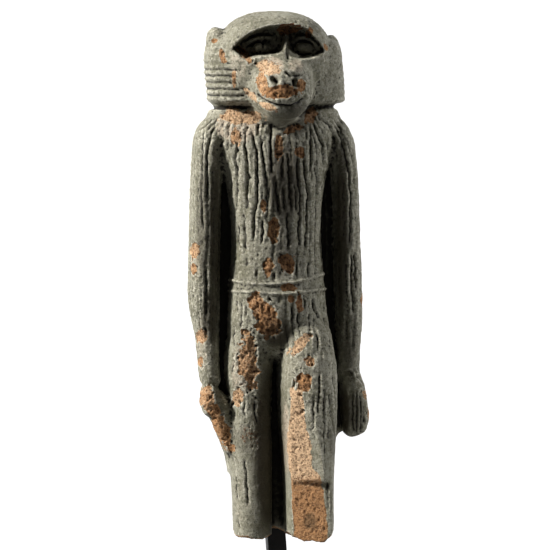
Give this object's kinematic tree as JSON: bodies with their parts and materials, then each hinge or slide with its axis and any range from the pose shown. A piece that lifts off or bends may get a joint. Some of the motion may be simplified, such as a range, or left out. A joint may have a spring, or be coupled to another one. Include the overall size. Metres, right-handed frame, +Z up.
{
  "type": "amulet figurine on display stand",
  "caption": "Broken glazed faience amulet of a striding baboon with carved hair, held up on a square bar that stands in a plain black block.",
  "frame": {"origin": "centre of the display foot's underside", "axes": "+Z up, the figure faces -Y, its left hand side is +X"},
  "size_m": [0.046, 0.046, 0.1145],
  "materials": {
    "faience": "worn grey-green glaze, pitted, with cream to orange-brown core showing where it is chipped or broken",
    "rod_paint": "satin black paint",
    "foot_paint": "satin black paint"
  },
  "bodies": {
    "root": {"monkey_figure": "faience", "display_rod": "rod_paint", "display_foot": "foot_paint"}
  },
  "joints": []
}
